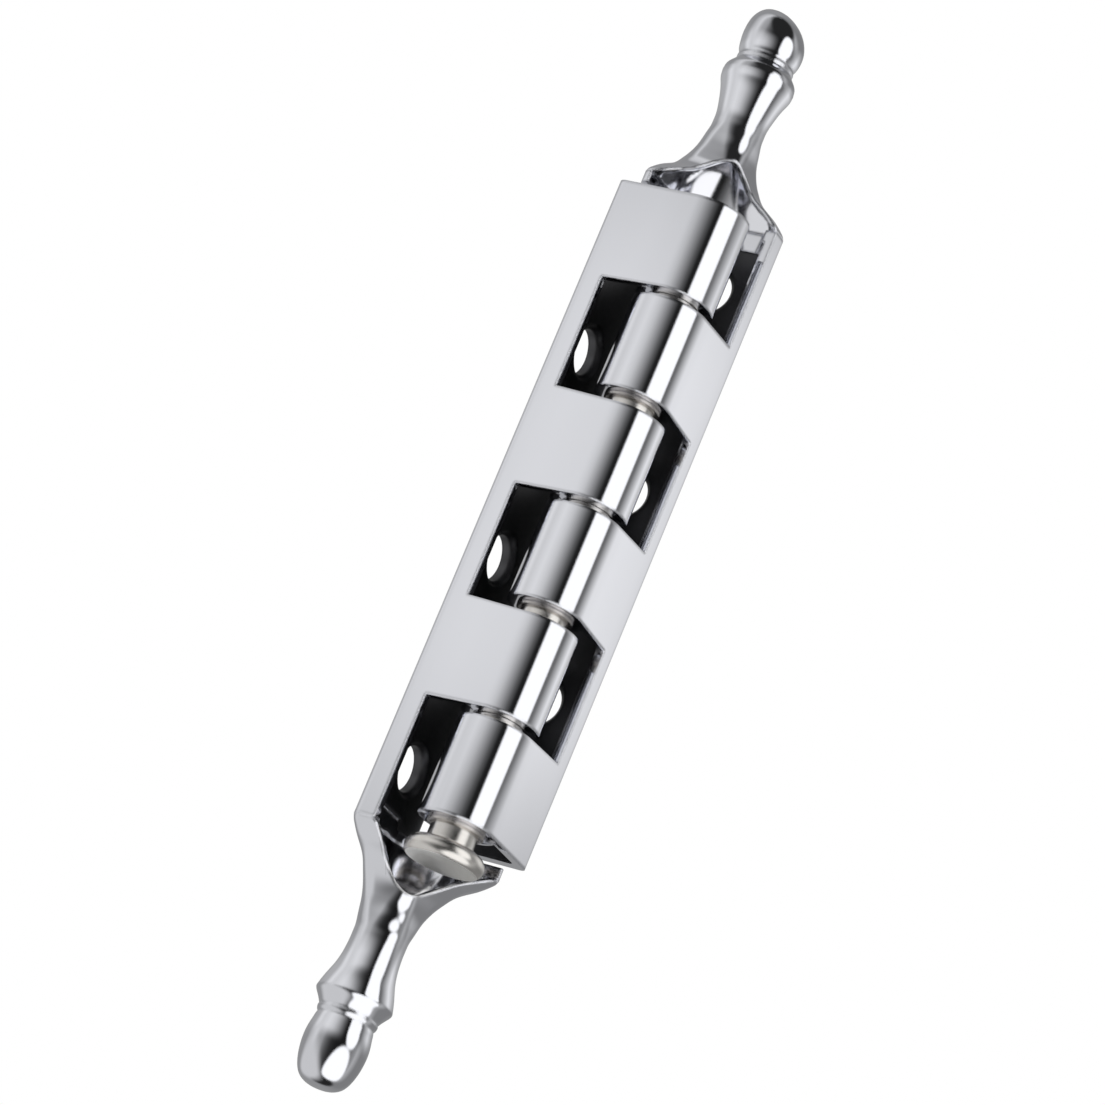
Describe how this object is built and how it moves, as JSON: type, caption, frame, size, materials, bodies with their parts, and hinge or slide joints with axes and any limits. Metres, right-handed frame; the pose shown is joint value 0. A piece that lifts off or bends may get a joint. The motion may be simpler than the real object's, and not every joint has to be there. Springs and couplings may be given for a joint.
{
  "type": "butt hinge with finials",
  "caption": "Knuckle hinge of two turned-about cast leaves on one pin, each with a countersunk screw plate and, at one end, a hollow flare with a turned finial.",
  "frame": {"origin": "on the wood face of the frame leaf's screw plate, level with the middle of the hinge and straight behind the pin's axis", "axes": "+Z along the pin, towards its mushroom head; -X out of the frame leaf's screw plate, into the frame; +Y out of the door leaf's screw plate, with the hinge closed; +X towards the door leaf's front arm"},
  "size_m": [0.0136, 0.0136, 0.1234],
  "materials": {
    "chrome_casting": "mirror-polished chrome plate",
    "nickel_pin": "plain nickel plate, slightly warm, satin",
    "nickel_bush": "turned, satin nickel plate"
  },
  "bodies": {
    "frame_side": {"frame_leaf": "chrome_casting", "hinge_pin": "nickel_pin", "frame_bush_lower": "nickel_bush", "frame_bush_middle": "nickel_bush", "frame_bush_upper": "nickel_bush"},
    "door_side": {"door_leaf": "chrome_casting", "door_bush_lower": "nickel_bush", "door_bush_middle": "nickel_bush", "door_bush_upper": "nickel_bush"}
  },
  "joints": [
    {"name": "hinge_swing", "type": "hinge", "parent": "frame_side", "child": "door_side", "pos_m": [0.0094, 0, 0], "axis": [0, 0, -1], "range_deg": [0, 180]}
  ]
}
